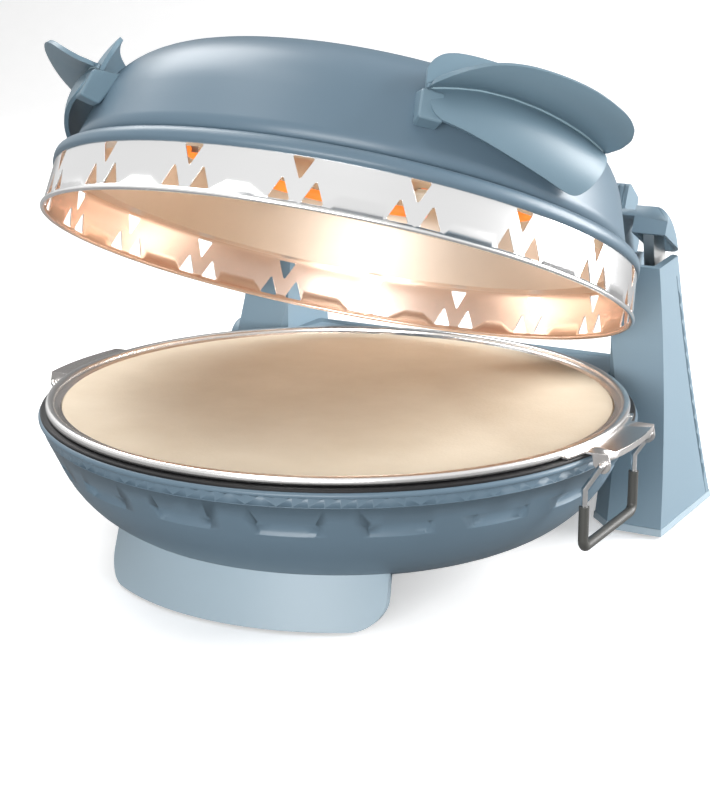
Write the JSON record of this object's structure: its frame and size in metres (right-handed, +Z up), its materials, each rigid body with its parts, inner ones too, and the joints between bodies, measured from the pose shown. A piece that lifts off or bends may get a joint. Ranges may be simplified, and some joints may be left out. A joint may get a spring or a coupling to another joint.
{
  "type": "electric pizza oven with hinged dome lid",
  "caption": "Countertop stone pizza oven: round bowl base, hinged dome lid with pierced band, lift-off stone tray with swinging wire handles.",
  "frame": {"origin": "centre of the footprint, on the worktop", "axes": "+Z up; +Y from the front towards the hinge side; +X to the right, seen from the front"},
  "size_m": [0.38, 0.3932, 0.3142],
  "materials": {
    "body_paint": "satin slate-blue enamel on pressed steel",
    "body_plastic": "satin slate-blue moulded plastic",
    "trim_plastic": "paler blue-grey moulded plastic",
    "dark_plastic": "dark heat-proof plastic",
    "seal": "black heat-proof seal",
    "pads": "matt rubber",
    "stainless": "bright stainless sheet and wire",
    "reflector": "bright aluminised reflector sheet",
    "element": "heat-browned element tube",
    "bushing": "matt ceramic",
    "zinc_steel": "zinc-plated steel",
    "brass": "turned brass",
    "lamp": "clear red lens",
    "stone": "unglazed cream baking stone"
  },
  "bodies": {
    "base": {"base_bowl": "body_paint", "rim_gasket": "seal", "lower_reflector": "reflector", "lower_heater": "element", "lower_bushings": "bushing", "lower_clips": "zinc_steel", "front_foot": "body_plastic", "rubber_pads": "pads", "bowl_bolts": "zinc_steel", "upright_right": "body_plastic", "upright_left": "body_plastic", "upright_bases": "trim_plastic", "base_screws": "zinc_steel", "rear_housing": "body_plastic", "rear_cover": "trim_plastic", "cover_screws": "zinc_steel", "cord_gland": "dark_plastic", "hinge_pins": "zinc_steel", "hinge_spacers": "dark_plastic", "thermostat": "dark_plastic", "pilot_lamp": "lamp"},
    "dial": {"dial_shaft": "brass", "thermostat_dial": "body_plastic"},
    "lid": {"dome": "body_paint", "lid_collar": "body_paint", "perforated_band": "stainless", "upper_reflector": "reflector", "upper_heater": "element", "upper_bushings": "bushing", "upper_clips": "zinc_steel", "arm_right": "body_plastic", "arm_left": "body_plastic", "arm_fairings": "body_plastic", "knuckles": "zinc_steel", "ear_right": "body_plastic", "ear_left": "body_plastic"},
    "tray": {"tray_ring": "stainless", "pizza_stone": "stone", "tray_brackets": "stainless", "tray_rivets": "stainless"},
    "handle_right": {"bail_right": "stainless", "grip_right": "dark_plastic"},
    "handle_left": {"bail_left": "stainless", "grip_left": "dark_plastic"}
  },
  "joints": [
    {"name": "lid_hinge", "type": "hinge", "parent": "base", "child": "lid", "pos_m": [0, 0.1634, 0.1397], "axis": [-1, 0, 0], "range_deg": [-23.35, 56.65]},
    {"name": "tray_lift", "type": "slide", "parent": "base", "child": "tray", "axis": [0, 0, 1], "range_m": [0, 0.0045]},
    {"name": "handle_right_swing", "type": "hinge", "parent": "tray", "child": "handle_right", "pos_m": [0.1835, -0.0186, 0.089], "axis": [0, -1, 0], "range_deg": [0, 120]},
    {"name": "handle_left_swing", "type": "hinge", "parent": "tray", "child": "handle_left", "pos_m": [-0.1835, -0.0186, 0.089], "axis": [0, 1, 0], "range_deg": [0, 120]},
    {"name": "dial_turn", "type": "hinge", "parent": "base", "child": "dial", "pos_m": [-0.15727, 0.1424, 0.08], "axis": [-0.9911, 0, 0.133], "range_deg": [0, 270]}
  ]
}
